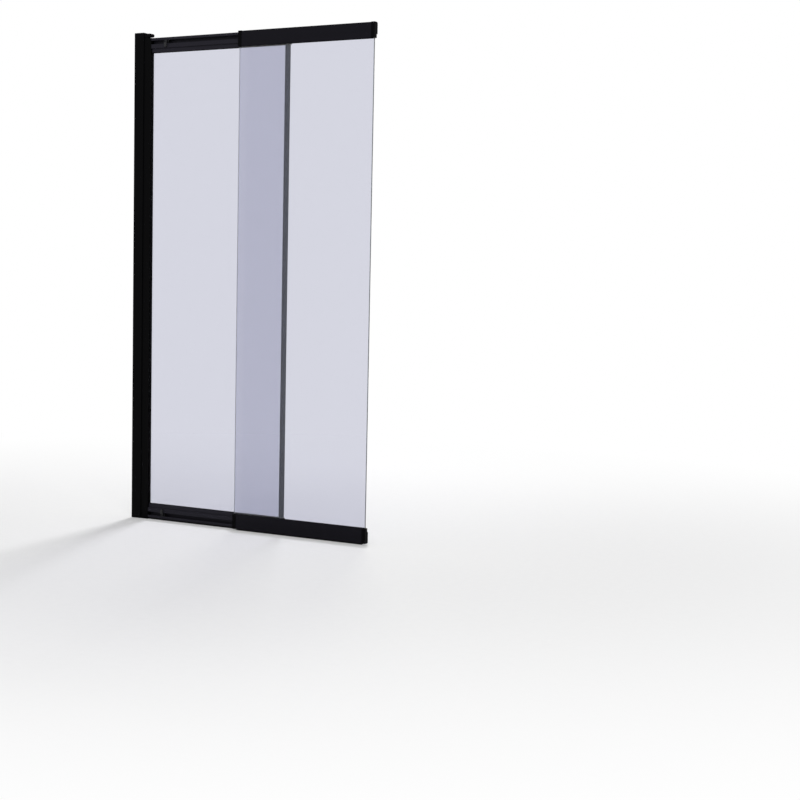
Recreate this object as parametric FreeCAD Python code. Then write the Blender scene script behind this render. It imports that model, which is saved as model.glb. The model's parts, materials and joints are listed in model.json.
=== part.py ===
import FreeCAD
import Part
import math
import os

# Sliding bath screen, in millimetres.
# X runs from the wall channel to the free end, Y from the sliding panel to the fixed one, Z up from the foot.
# The origin is at the foot of the wall channel's back face, in line with the middle of the fixed glass.

V = FreeCAD.Vector
SAME_POINT = 1e-6

# Overall size, pulled out, and how far the sliding panel passes the fixed one when pushed in
SCREEN_HEIGHT = 1400.0
SCREEN_WIDTH = 800.0
PUSHED_IN_REACH = 21.0

# Glass and the gaskets that hold it
GLASS_THICKNESS = 5.0
GLASS_ARRIS = 0.7
GASKET_THICKNESS = 1.5
GASKET_PROUD = 1.5

# Wall channel
CHANNEL_WEB = 2.0
CHANNEL_WALL = 1.7
CHANNEL_SLIP = 0.3
WALL_HOLE_DIAMETER = 6.0
WALL_HOLE_INSET = 90.0
WALL_HOLE_INNER_SPACING = 420.0

# Hood that closes the wall channel
HOOD_TOP = 2.5
HOOD_CLEARANCE = 0.8
HOOD_PLUG_THICKNESS = 2.4
HOOD_PLUG_LENGTH = 18.0
HOOD_ROUND = 1.2
HOOD_JOINT_ROUND = 0.5

# Side profile that telescopes in the wall channel
SIDE_COVER = 0.5
SIDE_SHOWN = 25.0
SIDE_WALL = 1.8
SIDE_WEB = 2.0
SIDE_DROP = 1.5
GLASS_BITE = 15.0
ADJUST_TRAVEL = 7.5
ADJUST_CLEARANCE = 1.0

# Cap of the side profile
SIDE_CAP_PLATE = 9.2
SIDE_CAP_NECK = 3.5
SIDE_CAP_PLATE_SHORT = 0.8
SIDE_CAP_NECK_SHORT = 12.5
SIDE_CAP_SETBACK = 6.0
SIDE_CAP_NECK_INSET = 1.5
SIDE_CAP_PLUG = 12.0
SIDE_CAP_ROUND = 4.2

# Screws that lock the telescope, and their covers
ADJUST_SCREW_DIAMETER = 4.0
ADJUST_SCREW_HEAD = 8.0
ADJUST_SCREW_HEAD_HEIGHT = 2.4
ADJUST_SCREW_LENGTH = 9.0
ADJUST_SCREW_INSET = 130.0
ADJUST_SCREW_EDGE = 7.4
ADJUST_SLOT_EDGE = 3.0
COVER_RIM = 2.0
COVER_WALL = 1.0

# Rail section, shared by the four rails
RAIL_WALL = 1.6
RAIL_CORNER = 4.0
SCREW_PORT_WALL = 1.0
CLAMP_WALL = 1.5
CLAMP_HEIGHT = 11.2
SLOT_CLEARANCE = 1.3
EDGE_ROUND = 0.8

# Screws from the side profile into the rails
RAIL_SCREW_DIAMETER = 3.4
RAIL_SCREW_HEAD = 5.2
RAIL_SCREW_HEAD_HEIGHT = 2.0
RAIL_SCREW_BITE = 20.0

# End caps of the rails
CAP_WALL = 3.0
CAP_SLEEVE = 8.0
CAP_PROUD = 0.8
CAP_PASSING_GAP = 0.4
CAP_ROUND = 0.6

# Rollers, axles and carriages
ROLLER_DIAMETER = 22.0
ROLLER_WIDTH = 6.0
ROLLER_GAP = 19.5
ROLLER_CLEARANCE = 0.4
ROLLER_DISH = 1.2
AXLE_DIAMETER = 6.0
AXLE_SHOULDER_STEP = 1.0
AXLE_HEAD_STEP = 2.0
AXLE_HEAD_THICKNESS = 2.5
AXLE_TAIL = 1.0
AXLE_END_GAP = 0.5
CLIP_THICKNESS = 1.0
CLIP_GROOVE = 0.5
CLIP_LAP = 1.75
CLIP_MOUTH = 3.4
CARRIAGE_GAP = 1.0
CARRIAGE_SCREW_DIAMETER = 4.0
CARRIAGE_SCREW_LENGTH = 12.0

# Buffers between the carriages, at full reach
BUFFER_SPACE = 5.0
BUFFER_DIAMETER = 10.0
BUFFER_TIP_DIAMETER = 5.0
BUFFER_STEM_DIAMETER = 5.0
BUFFER_STEM_LENGTH = 4.0

# Stop bumpers on the fixed rails
STOP_OFFSET = 48.5
BUMPER_WIDTH = 7.5
BUMPER_HEIGHT = 19.0
BUMPER_THICKNESS = 6.5
BUMPER_ROUND = 1.5
BUMPER_KEY_LENGTH = 4.5
STOP_PLATE_THICKNESS = 3.0
STOP_PLATE_LENGTH = 18.0
STOP_PLATE_LAP = 2.7
STOP_SCREW_DIAMETER = 3.0
STOP_SCREW_HEAD = 5.6
STOP_SCREW_HEAD_HEIGHT = 1.6
STOP_SCREW_SEAT = 3.6

# Cross recess of the screw heads
RECESS_WIDTH = 1.0
RECESS_DEPTH = 1.0

# Seals
RIM_SEAL_HEIGHT = 4.0
RIM_SEAL_WIDTH = 9.0
SEAL_WALL = 1.2
SEAL_GRIP = 9.0
SEAL_FIN = 2.0

# Clearances
RUNNING_FIT = 0.05
LOOSE_FIT = 0.1
BLOCK_FIT = 0.15
WIPE_GAP = 0.3
STOP_GAP = 0.4
HEAD_GAP = 0.2

# Rail section: u runs from the flat face towards the slot, v from the outer edge towards the glass
GLASS_POCKET = GLASS_THICKNESS + 2 * GASKET_THICKNESS
CLAMP_DEPTH = GLASS_POCKET + 2 * CLAMP_WALL
GLASS_U = CLAMP_DEPTH / 2
ROLLER_SIDE = WIPE_GAP + CLIP_THICKNESS + LOOSE_FIT + AXLE_TAIL + AXLE_END_GAP
TRACK_DEPTH = ROLLER_WIDTH + 2 * ROLLER_SIDE
RAIL_DEPTH = TRACK_DEPTH + 2 * RAIL_WALL
TRACK_HEIGHT = ROLLER_DIAMETER + 2 * ROLLER_CLEARANCE
TRACK_END = RAIL_WALL + TRACK_HEIGHT
CLAMP_FLOOR = TRACK_END + RAIL_SCREW_DIAMETER + 2 * SCREW_PORT_WALL
RAIL_HEIGHT = CLAMP_FLOOR + CLAMP_HEIGHT
AXLE_V = RAIL_WALL + TRACK_HEIGHT / 2
GLASS_V = CLAMP_FLOOR + GASKET_THICKNESS
CLEAR_V = RAIL_HEIGHT + GASKET_PROUD
AXLE_SHOULDER = AXLE_DIAMETER + 2 * AXLE_SHOULDER_STEP
AXLE_HEAD = AXLE_DIAMETER + 2 * AXLE_HEAD_STEP
SLOT_HEIGHT = AXLE_SHOULDER + 2 * SLOT_CLEARANCE
LIP_GAP = 2 * CAP_PROUD + CAP_PASSING_GAP
FACE_TO_FACE = 2 * RAIL_DEPTH + LIP_GAP
ROLLER_U = FACE_TO_FACE - RAIL_DEPTH / 2
SCREW_PORT_INSET = RAIL_SCREW_HEAD / 2 + SIDE_WALL - SIDE_COVER + HEAD_GAP
SCREW_PORT_U = (SCREW_PORT_INSET, RAIL_DEPTH - SCREW_PORT_INSET)
SCREW_PORT_V = (TRACK_END + CLAMP_FLOOR) / 2

# Places across the screen
SIDE_FRONT = GLASS_U - RAIL_DEPTH - SIDE_COVER
SIDE_BACK = GLASS_U + SIDE_COVER
SLIP_FRONT = SIDE_FRONT - CHANNEL_SLIP
SLIP_BACK = SIDE_BACK + CHANNEL_SLIP
CHANNEL_FRONT = SLIP_FRONT - CHANNEL_WALL
CHANNEL_BACK = SLIP_BACK + CHANNEL_WALL
WALL_HOLE_Y = (CHANNEL_FRONT + CHANNEL_BACK) / 2
FACE_Y = {"fixed": GLASS_U, "sliding": GLASS_U - FACE_TO_FACE}
SLIDING_GLASS_Y = FACE_Y["sliding"] + GLASS_U

# Heights
SIDE_TOP = SCREEN_HEIGHT - HOOD_TOP - HOOD_CLEARANCE - SIDE_CAP_PLATE - SIDE_CAP_NECK
CHANNEL_TOP = SIDE_TOP + SIDE_DROP
RAIL_Z = {"bottom": RIM_SEAL_HEIGHT, "top": SIDE_TOP}
GLASS_LOW = RAIL_Z["bottom"] + GLASS_V
GLASS_HIGH = RAIL_Z["top"] - GLASS_V
OPEN_LOW = RAIL_Z["bottom"] + CLEAR_V
OPEN_HIGH = RAIL_Z["top"] - CLEAR_V

# Places along the screen
HOOD_BACK = CHANNEL_WEB + LOOSE_FIT + HOOD_PLUG_THICKNESS
SIDE_LEFT = HOOD_BACK + ADJUST_TRAVEL + ADJUST_CLEARANCE
ADJUST_X = SIDE_LEFT + ADJUST_SCREW_EDGE
ADJUST_SLOT_HALF = ADJUST_TRAVEL + ADJUST_SCREW_DIAMETER / 2 + LOOSE_FIT
CHANNEL_REACH = ADJUST_X + ADJUST_SLOT_HALF + ADJUST_SLOT_EDGE
SIDE_RIGHT = CHANNEL_REACH + SIDE_SHOWN
POCKET_FLOOR = SIDE_RIGHT - GLASS_BITE - GASKET_THICKNESS
SIDE_WEB_FACE = POCKET_FLOOR - SIDE_WEB
STOP_X = SIDE_RIGHT + STOP_OFFSET + BUMPER_WIDTH / 2
STOP_FACE = STOP_X + BUMPER_WIDTH / 2
CARRIAGE_START = CAP_WALL + CAP_SLEEVE + CARRIAGE_GAP
CARRIAGE_LENGTH = 2 * ROLLER_DIAMETER + ROLLER_GAP
CARRIAGE_END = CARRIAGE_START + CARRIAGE_LENGTH
CARRIAGE_MIDDLE = CARRIAGE_START + CARRIAGE_LENGTH / 2
ROLLER_S = {
    "outer": CARRIAGE_START + ROLLER_DIAMETER / 2,
    "inner": CARRIAGE_END - ROLLER_DIAMETER / 2,
}
PANEL_OVERLAP = 2 * CARRIAGE_END + BUFFER_SPACE

# Pushed in, the sliding panel rests on the stop bumpers and passes the fixed panel's free end
FIXED_END = (SCREEN_WIDTH + STOP_FACE + PANEL_OVERLAP - PUSHED_IN_REACH) / 2
SLIDING_WIDTH = FIXED_END + PUSHED_IN_REACH - STOP_FACE
SLIDING_START = SCREEN_WIDTH - SLIDING_WIDTH
SLIDE_TRAVEL = SLIDING_START - STOP_FACE - STOP_GAP

LEVELS = ("top", "bottom")
PANELS = ("fixed", "sliding")


def box(x0, x1, y0, y1, z0, z1):
    return Part.makeBox(x1 - x0, y1 - y0, z1 - z0, V(x0, y0, z0))


def union(shapes):
    return shapes[0].multiFuse(shapes[1:]).removeSplitter()


def face(corners, plane):
    """Closed outline of (a, b, radius) corners, drawn in the XY, XZ or YZ plane."""
    to_space = {
        "XY": lambda a, b: V(a, b, 0),
        "XZ": lambda a, b: V(a, 0, b),
        "YZ": lambda a, b: V(0, a, b),
    }[plane]
    points = [to_space(a, b) for a, b, _ in corners]
    bends = []
    for i, point in enumerate(points):
        radius = corners[i][2]
        back = (points[i - 1] - point).normalize()
        ahead = (points[(i + 1) % len(points)] - point).normalize()
        half = back.getAngle(ahead) / 2
        centre = point + (back + ahead).normalize() * (radius / math.sin(half))
        start = point + back * (radius / math.tan(half))
        end = point + ahead * (radius / math.tan(half))
        middle = centre + (point - centre).normalize() * radius if radius else point
        bends.append((start, middle, end))
    edges = []
    for i, (start, middle, end) in enumerate(bends):
        last = bends[i - 1][2]
        if last.distanceToPoint(start) > SAME_POINT:
            edges.append(Part.LineSegment(last, start).toShape())
        if corners[i][2]:
            edges.append(Part.Arc(start, middle, end).toShape())
    return Part.Face(Part.Wire(edges))


def along_x(corners, x0, x1):
    shape = face(corners, "YZ").extrude(V(x1 - x0, 0, 0))
    return shape.translated(V(x0, 0, 0))


def along_y(corners, y0, y1):
    shape = face(corners, "XZ").extrude(V(0, y1 - y0, 0))
    return shape.translated(V(0, y0, 0))


def along_z(corners, z0, z1):
    shape = face(corners, "XY").extrude(V(0, 0, z1 - z0))
    return shape.translated(V(0, 0, z0))


def rectangle(a0, a1, b0, b1, radius=0.0):
    return [(a0, b0, radius), (a1, b0, radius), (a1, b1, radius), (a0, b1, radius)]


def turned(profile, centre, axis):
    """Solid of revolution of (radius, distance) points about an axis through centre."""
    axis_way, radius_way = {
        "X": (V(1, 0, 0), V(0, 0, 1)),
        "Y": (V(0, 1, 0), V(1, 0, 0)),
        "Z": (V(0, 0, 1), V(1, 0, 0)),
    }[axis]
    points = [axis_way * distance + radius_way * radius for radius, distance in profile]
    outline = Part.Face(Part.makePolygon(points + points[:1]))
    return outline.revolve(V(0, 0, 0), axis_way, 360).translated(centre)


def rod(diameter, start, length, axis):
    way = {"X": V(1, 0, 0), "Y": V(0, 1, 0), "Z": V(0, 0, 1)}[axis]
    return Part.makeCylinder(diameter / 2, length, start, way)


def stepped(steps):
    """Half profile of a shaft from (diameter, from, to) steps."""
    points = [(0.0, steps[0][1])]
    for diameter, start, end in steps:
        points += [(diameter / 2, start), (diameter / 2, end)]
    return points + [(0.0, steps[-1][2])]


def cross_recess(length, centre, axis):
    """Two crossed bars that cut a cross recess into a screw head whose top is at centre."""
    deep = 2 * RECESS_DEPTH
    bars = []
    for a, b in ((length, RECESS_WIDTH), (RECESS_WIDTH, length)):
        size = {"X": V(deep, a, b), "Y": V(a, deep, b), "Z": V(a, b, deep)}[axis]
        bars.append(Part.makeBox(size.x, size.y, size.z, centre - size / 2))
    return bars[0].fuse(bars[1])


def place(shape, panel, level, start, from_end=False):
    """Carry a solid drawn in a rail's own (s, u, v) frame to its panel and level."""
    origin = V(0, 0, 0)
    if from_end:
        shape = shape.mirror(origin, V(1, 0, 0))
    if panel == "fixed":
        shape = shape.mirror(origin, V(0, 1, 0))
    if level == "top":
        shape = shape.mirror(origin, V(0, 0, 1))
    return shape.translated(V(start, FACE_Y[panel], RAIL_Z[level]))


def at_carriage(shape, panel, level):
    """Place a solid drawn from the rail end that holds the carriage."""
    if panel == "fixed":
        return place(shape, panel, level, FIXED_END, from_end=True)
    return place(shape, panel, level, SLIDING_START)


def rail_section(grow, mouth=RAIL_HEIGHT):
    """Outer outline of a rail, made larger by grow on all but the glass side."""
    far = RAIL_DEPTH + grow
    clamp = CLAMP_DEPTH + grow
    step = CLAMP_FLOOR + grow
    return [
        (-grow, -grow, EDGE_ROUND + grow),
        (far, -grow, RAIL_CORNER + grow),
        (far, step, EDGE_ROUND),
        (clamp, step, 0.0),
        (clamp, mouth, EDGE_ROUND),
        (-grow, mouth, EDGE_ROUND),
    ]


def track_section(clearance):
    """Inside of the roller channel, made smaller by a clearance."""
    near = RAIL_WALL + clearance
    far = RAIL_DEPTH - RAIL_WALL - clearance
    bend = max(RAIL_CORNER - RAIL_WALL, EDGE_ROUND)
    return [
        (near, near, 0.0),
        (far, near, bend),
        (far, TRACK_END - clearance, 0.0),
        (near, TRACK_END - clearance, 0.0),
    ]


def rail(length):
    body = along_x(rail_section(0.0), 0.0, length)
    slot_low = AXLE_V - SLOT_HEIGHT / 2
    lip = RAIL_DEPTH - RAIL_WALL
    cuts = [
        along_x(track_section(0.0), 0.0, length),
        box(0.0, length, lip - LOOSE_FIT, RAIL_DEPTH + LIP_GAP, slot_low, slot_low + SLOT_HEIGHT),
        box(0.0, length, CLAMP_WALL, CLAMP_WALL + GLASS_POCKET, CLAMP_FLOOR, RAIL_HEIGHT + CLAMP_WALL),
    ]
    for u in SCREW_PORT_U:
        port = V(0.0, u, SCREW_PORT_V)
        cuts.append(rod(RAIL_SCREW_DIAMETER + LOOSE_FIT, port, length, "X"))
    return body.cut(cuts)


def rail_span(panel):
    if panel == "fixed":
        return SIDE_RIGHT, FIXED_END - CAP_WALL
    return SLIDING_START + CAP_WALL, SCREEN_WIDTH - CAP_WALL


def panel_rail(panel, level):
    start, end = rail_span(panel)
    body = place(rail(end - start), panel, level, start)
    return body.cut(at_carriage(carriage_screw(LOOSE_FIT), panel, level))


def rail_gasket(panel, level):
    start, end = rail_span(panel)
    low, high = CLAMP_WALL, CLAMP_WALL + GLASS_POCKET
    outer = box(0.0, end - start, low, high, CLAMP_FLOOR, CLEAR_V)
    glass = box(0.0, end - start, low + GASKET_THICKNESS, high - GASKET_THICKNESS, GLASS_V, CLEAR_V)
    return place(outer.cut(glass), panel, level, start)


def end_cap():
    """Cap drawn at the start of a rail: end wall, sleeve over the rail and plug in its channel."""
    reach = CAP_WALL + CAP_SLEEVE
    shell = along_x(rail_section(CAP_PROUD), 0.0, reach)
    rim = [e for e in shell.Edges if e.BoundBox.XMax < CAP_ROUND]
    shell = shell.makeFillet(min(CAP_ROUND, CAP_WALL / 3), rim)
    seat = along_x(rail_section(0.0, RAIL_HEIGHT + CLAMP_WALL), CAP_WALL, reach)
    plug = along_x(track_section(LOOSE_FIT), CAP_WALL - LOOSE_FIT, reach)
    return shell.cut(seat).fuse(plug).removeSplitter()


def carriage_screw(clearance):
    """Countersunk screw through the rail's outer wall into the carriage, or its hole."""
    radius = CARRIAGE_SCREW_DIAMETER / 2 + clearance
    head = radius + RAIL_WALL
    end = CARRIAGE_SCREW_LENGTH + clearance
    profile = [(0.0, 0.0), (head, 0.0), (radius, RAIL_WALL), (radius, end), (0.0, end)]
    place_in_rail = V(CARRIAGE_MIDDLE, RAIL_DEPTH / 2, 0.0)
    screw = turned(profile, place_in_rail, "Z")
    if clearance:
        return screw
    return screw.cut(cross_recess(CARRIAGE_SCREW_DIAMETER, place_in_rail, "Z"))


def axle(s):
    back = RAIL_WALL + BLOCK_FIT
    shoulder = RAIL_DEPTH - RAIL_WALL - BLOCK_FIT
    near = ROLLER_U - ROLLER_WIDTH / 2 - WIPE_GAP
    far = ROLLER_U + ROLLER_WIDTH / 2 + WIPE_GAP
    groove = far + CLIP_THICKNESS + LOOSE_FIT
    profile = stepped([
        (AXLE_HEAD, back, back + AXLE_HEAD_THICKNESS),
        (AXLE_DIAMETER, back + AXLE_HEAD_THICKNESS, shoulder),
        (AXLE_SHOULDER, shoulder, near),
        (AXLE_DIAMETER, near, far),
        (AXLE_DIAMETER - 2 * CLIP_GROOVE, far, groove),
        (AXLE_DIAMETER, groove, groove + AXLE_TAIL),
    ])
    return turned(profile, V(s, 0.0, AXLE_V), "Y")


def axle_clip(s):
    """Open spring ring in the groove at the axle's end."""
    start = ROLLER_U + ROLLER_WIDTH / 2 + WIPE_GAP + LOOSE_FIT / 2
    outside = AXLE_DIAMETER + 2 * CLIP_LAP
    inside = AXLE_DIAMETER - 2 * CLIP_GROOVE + 2 * RUNNING_FIT
    centre = V(s, start, AXLE_V)
    ring = rod(outside, centre, CLIP_THICKNESS, "Y")
    hole = rod(inside, centre, CLIP_THICKNESS, "Y")
    half = CLIP_MOUTH / 2
    mouth = box(s - half, s + half, start, start + CLIP_THICKNESS, AXLE_V, AXLE_V + outside)
    return ring.cut([hole, mouth])


def roller(s):
    """Nylon wheel with bevelled rims and dished faces."""
    bore = AXLE_DIAMETER / 2 + RUNNING_FIT
    hub = AXLE_SHOULDER / 2 + ROLLER_DISH
    rim = ROLLER_DIAMETER / 2
    near, far = -ROLLER_WIDTH / 2, ROLLER_WIDTH / 2
    profile = [
        (bore, near),
        (hub, near),
        (hub + ROLLER_DISH, near + ROLLER_DISH),
        (rim - 2 * ROLLER_DISH, near + ROLLER_DISH),
        (rim - ROLLER_DISH, near),
        (rim, near + ROLLER_DISH),
        (rim, far - ROLLER_DISH),
        (rim - ROLLER_DISH, far),
        (rim - 2 * ROLLER_DISH, far - ROLLER_DISH),
        (hub + ROLLER_DISH, far - ROLLER_DISH),
        (hub, far),
        (bore, far),
    ]
    return turned(profile, V(s, ROLLER_U, AXLE_V), "Y")


def carriage():
    """Moulded block that fills the rail channel and carries two axles."""
    block = along_x(track_section(BLOCK_FIT), CARRIAGE_START, CARRIAGE_END)
    back = RAIL_WALL + BLOCK_FIT
    cuts = [carriage_screw(LOOSE_FIT)]
    for s in ROLLER_S.values():
        centre = V(s, back, AXLE_V)
        cuts.append(rod(AXLE_HEAD + 2 * LOOSE_FIT, centre, AXLE_HEAD_THICKNESS, "Y"))
        cuts.append(rod(AXLE_DIAMETER + 2 * RUNNING_FIT, centre, RAIL_DEPTH, "Y"))
    stem = V(CARRIAGE_END - BUFFER_STEM_LENGTH, RAIL_DEPTH / 2, AXLE_V)
    cuts.append(rod(BUFFER_STEM_DIAMETER + 2 * RUNNING_FIT, stem, BUFFER_STEM_LENGTH, "X"))
    return block.cut(cuts)


def buffer():
    """Rubber button on the carriage's inner end, with a stem in the carriage."""
    end = CARRIAGE_END + BUFFER_SPACE - STOP_GAP
    profile = [
        (0.0, CARRIAGE_END - BUFFER_STEM_LENGTH),
        (BUFFER_STEM_DIAMETER / 2, CARRIAGE_END - BUFFER_STEM_LENGTH),
        (BUFFER_STEM_DIAMETER / 2, CARRIAGE_END),
        (BUFFER_DIAMETER / 2, CARRIAGE_END),
        (BUFFER_DIAMETER / 2, (CARRIAGE_END + end) / 2),
        (BUFFER_TIP_DIAMETER / 2, end),
        (0.0, end),
    ]
    return turned(profile, V(0.0, RAIL_DEPTH / 2, AXLE_V), "X")


def stop_bumper():
    """Oval block on the rail's slotted face, keyed into the slot, its outer end round the screw."""
    half = BUMPER_WIDTH / 2
    low = AXLE_V - half
    oval = rectangle(STOP_X - half, STOP_X + half, low, low + BUMPER_HEIGHT, half)
    front = RAIL_DEPTH + BUMPER_THICKNESS
    body = along_y(oval, RAIL_DEPTH, front)
    rim = [e for e in body.Edges if e.BoundBox.YMin > front - LOOSE_FIT]
    body = body.makeFillet(min(BUMPER_ROUND, half - LOOSE_FIT), rim)
    key = SLOT_HEIGHT / 2 - LOOSE_FIT
    side = BUMPER_KEY_LENGTH / 2
    lip = RAIL_DEPTH - RAIL_WALL
    neck = box(STOP_X - side, STOP_X + side, lip, RAIL_DEPTH, AXLE_V - key, AXLE_V + key)
    axis = V(STOP_X, 0.0, AXLE_V)
    hole = rod(STOP_SCREW_DIAMETER + 2 * LOOSE_FIT, axis, front, "Y")
    seat = axis + V(0.0, RAIL_DEPTH + STOP_SCREW_SEAT, 0.0)
    sink = rod(STOP_SCREW_HEAD + 2 * LOOSE_FIT, seat, BUMPER_THICKNESS, "Y")
    return union([body, neck]).cut([hole, sink])


def stop_plate():
    """Clamp plate behind the slot's lips."""
    back = RAIL_DEPTH - RAIL_WALL
    side = STOP_PLATE_LENGTH / 2
    rise = SLOT_HEIGHT / 2 + STOP_PLATE_LAP
    outline = rectangle(STOP_X - side, STOP_X + side, AXLE_V - rise, AXLE_V + rise, EDGE_ROUND)
    plate = along_y(outline, back - STOP_PLATE_THICKNESS, back)
    return plate.cut(rod(STOP_SCREW_DIAMETER + 2 * RUNNING_FIT, V(STOP_X, 0.0, AXLE_V), RAIL_DEPTH, "Y"))


def stop_screw():
    seat = RAIL_DEPTH + STOP_SCREW_SEAT
    top = seat + STOP_SCREW_HEAD_HEIGHT
    tip = RAIL_DEPTH - RAIL_WALL - STOP_PLATE_THICKNESS
    profile = stepped([(STOP_SCREW_DIAMETER, tip, seat), (STOP_SCREW_HEAD, seat, top)])
    screw = turned(profile, V(STOP_X, 0.0, AXLE_V), "Y")
    return screw.cut(cross_recess(STOP_SCREW_DIAMETER, V(STOP_X, top, AXLE_V), "Y"))


def glass(x0, x1, y):
    half = GLASS_THICKNESS / 2
    a = GLASS_ARRIS
    outline = [
        (x0 + a, y - half, 0.0),
        (x1 - a, y - half, 0.0),
        (x1, y - half + a, 0.0),
        (x1, y + half - a, 0.0),
        (x1 - a, y + half, 0.0),
        (x0 + a, y + half, 0.0),
        (x0, y + half - a, 0.0),
        (x0, y - half + a, 0.0),
    ]
    return along_z(outline, GLASS_LOW, GLASS_HIGH)


def wall_hole_heights():
    middle = CHANNEL_TOP / 2
    inner = WALL_HOLE_INNER_SPACING / 2
    return (WALL_HOLE_INSET, middle - inner, middle + inner, CHANNEL_TOP - WALL_HOLE_INSET)


def adjust_heights():
    return (ADJUST_SCREW_INSET, CHANNEL_TOP / 2, CHANNEL_TOP - ADJUST_SCREW_INSET)


def wall_channel():
    lip = min(EDGE_ROUND, CHANNEL_WALL / 3)
    outline = [
        (0.0, CHANNEL_FRONT, EDGE_ROUND),
        (CHANNEL_REACH, CHANNEL_FRONT, lip),
        (CHANNEL_REACH, SLIP_FRONT, lip),
        (CHANNEL_WEB, SLIP_FRONT, 0.0),
        (CHANNEL_WEB, SLIP_BACK, 0.0),
        (CHANNEL_REACH, SLIP_BACK, lip),
        (CHANNEL_REACH, CHANNEL_BACK, lip),
        (0.0, CHANNEL_BACK, EDGE_ROUND),
    ]
    body = along_z(outline, 0.0, CHANNEL_TOP)
    cuts = [rod(WALL_HOLE_DIAMETER, V(0, WALL_HOLE_Y, z), CHANNEL_WEB, "X") for z in wall_hole_heights()]
    rise = ADJUST_SCREW_DIAMETER / 2 + LOOSE_FIT
    low, high = ADJUST_X - ADJUST_SLOT_HALF, ADJUST_X + ADJUST_SLOT_HALF
    for z in adjust_heights():
        slot = rectangle(low, high, z - rise, z + rise, rise)
        cuts.append(along_y(slot, SLIP_BACK, CHANNEL_BACK))
    return body.cut(cuts)


def wall_channel_cap():
    """Hood on the channel, open towards the side profile, whose cap slides in below it."""
    outline = rectangle(0.0, CHANNEL_REACH, CHANNEL_FRONT, CHANNEL_BACK, EDGE_ROUND)
    hood = along_z(outline, CHANNEL_TOP, SCREEN_HEIGHT)
    rim = [e for e in hood.Edges if e.BoundBox.ZMin > SCREEN_HEIGHT - LOOSE_FIT]
    hood = hood.makeFillet(min(HOOD_ROUND, HOOD_TOP / 2), rim)
    joint = [e for e in hood.Edges if e.BoundBox.ZMax < CHANNEL_TOP + LOOSE_FIT]
    hood = hood.makeFillet(min(HOOD_JOINT_ROUND, CHANNEL_WALL / 3), joint)
    ceiling = SCREEN_HEIGHT - HOOD_TOP
    hollow = box(HOOD_BACK, CHANNEL_REACH, SLIP_FRONT, SLIP_BACK, CHANNEL_TOP, ceiling)
    plug_low = CHANNEL_TOP - HOOD_PLUG_LENGTH
    plug_left = CHANNEL_WEB + LOOSE_FIT
    plug = box(plug_left, HOOD_BACK, SLIP_FRONT + LOOSE_FIT, SLIP_BACK - LOOSE_FIT, plug_low, ceiling)
    return hood.cut(hollow).fuse(plug).removeSplitter()


def rail_screw_places():
    places = []
    for level in LEVELS:
        for u in SCREW_PORT_U:
            z = RAIL_Z[level] + (SCREW_PORT_V if level == "bottom" else -SCREW_PORT_V)
            places.append((FACE_Y["fixed"] - u, z))
    return places


def front_hollow():
    """Corners (x, y) of the hollow between the profile's front wall and its glass pocket."""
    wall = GLASS_POCKET / 2 + SIDE_WALL
    return POCKET_FLOOR, SIDE_RIGHT - SIDE_WALL, SIDE_FRONT + SIDE_WALL, -wall


def side_profile():
    pocket = GLASS_POCKET / 2
    outline = rectangle(SIDE_LEFT, SIDE_RIGHT, SIDE_FRONT, SIDE_BACK, EDGE_ROUND)
    body = along_z(outline, 0.0, SIDE_TOP)
    inner_front, inner_back = SIDE_FRONT + SIDE_WALL, SIDE_BACK - SIDE_WALL
    cuts = [
        box(SIDE_LEFT, SIDE_WEB_FACE, inner_front, inner_back, 0.0, SIDE_TOP),
        box(POCKET_FLOOR, SIDE_RIGHT, -pocket, pocket, 0.0, SIDE_TOP),
        box(*front_hollow(), 0.0, SIDE_TOP),
    ]
    for y, z in rail_screw_places():
        start = V(SIDE_WEB_FACE, y, z)
        cuts.append(rod(RAIL_SCREW_DIAMETER + LOOSE_FIT, start, SIDE_RIGHT - SIDE_WEB_FACE, "X"))
    for z in adjust_heights():
        cuts.append(rod(ADJUST_SCREW_DIAMETER + 2 * RUNNING_FIT, V(ADJUST_X, 0, z), SIDE_BACK, "Y"))
    return body.cut(cuts)


def side_profile_cap():
    """Rounded plate on a neck, with plugs that close the profile's three hollows."""
    left = SIDE_LEFT + SIDE_CAP_SETBACK
    plate_low = SIDE_TOP + SIDE_CAP_NECK
    plate_high = plate_low + SIDE_CAP_PLATE
    plate_right = SIDE_RIGHT - SIDE_CAP_PLATE_SHORT
    front, back = SIDE_FRONT + LOOSE_FIT, SIDE_BACK - LOOSE_FIT
    bend = min(SIDE_CAP_ROUND, SIDE_CAP_PLATE / 2 - LOOSE_FIT)
    plate = along_y([
        (left, plate_low, 0.0),
        (plate_right, plate_low, bend),
        (plate_right, plate_high, bend),
        (left, plate_high, min(EDGE_ROUND, bend)),
    ], front, back)
    inset = SIDE_CAP_NECK_INSET
    neck = box(left, SIDE_RIGHT - SIDE_CAP_NECK_SHORT, front + inset, back - inset, SIDE_TOP, plate_low)
    x0, x1, y0, y1 = front_hollow()
    pocket = GLASS_POCKET / 2
    hollows = [
        (left - LOOSE_FIT, SIDE_WEB_FACE, SIDE_FRONT + SIDE_WALL, SIDE_BACK - SIDE_WALL),
        (POCKET_FLOOR, SIDE_RIGHT + LOOSE_FIT, -pocket, pocket),
        (x0, x1, y0, y1),
    ]
    plugs = []
    for x0, x1, y0, y1 in hollows:
        across = (x0 + LOOSE_FIT, x1 - LOOSE_FIT, y0 + LOOSE_FIT, y1 - LOOSE_FIT)
        plugs.append(box(*across, SIDE_TOP - SIDE_CAP_PLUG, SIDE_TOP))
    return union([plate, neck] + plugs)


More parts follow.
